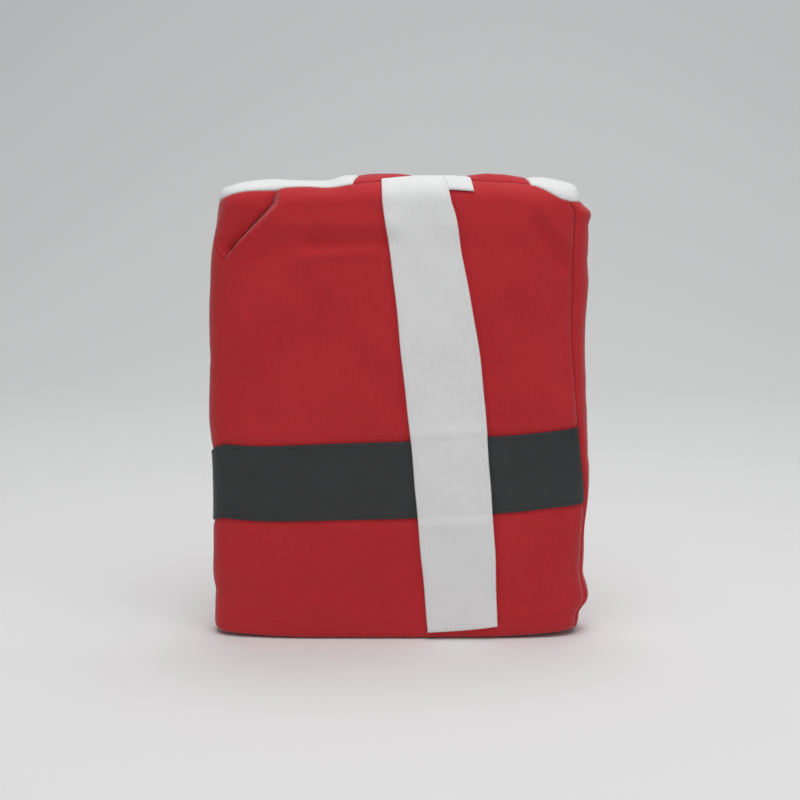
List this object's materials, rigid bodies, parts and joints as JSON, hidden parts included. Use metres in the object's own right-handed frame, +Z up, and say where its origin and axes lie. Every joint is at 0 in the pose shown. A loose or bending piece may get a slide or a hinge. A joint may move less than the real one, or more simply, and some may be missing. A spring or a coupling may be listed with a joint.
{
  "type": "santa suit",
  "caption": "Child's red Santa suit folded into an upright packet, with a white front band, black belt, white collar edge and cuffs.",
  "frame": {"origin": "middle of the packet's footprint, on the surface it stands on", "axes": "+Z up the packet, -Y out of the jacket's front, +X to the wearer's left"},
  "size_m": [0.2597, 0.0619, 0.3143],
  "materials": {
    "red_fleece": "matt brushed fleece",
    "white_fleece": "matt brushed fleece",
    "black_belt": "smooth coated cloth"
  },
  "bodies": {
    "root": {"folded_layers": "red_fleece", "front_right": "red_fleece", "front_left": "red_fleece", "front_band": "white_fleece", "belt_right": "black_belt", "belt_left": "black_belt", "jacket_side_right": "red_fleece", "jacket_side_left": "red_fleece", "sleeve_right": "red_fleece", "sleeve_left": "red_fleece", "cuff_right": "white_fleece", "cuff_left": "white_fleece", "collar_right": "white_fleece", "collar_front": "white_fleece", "collar_left": "white_fleece", "trousers": "red_fleece"}
  },
  "joints": []
}
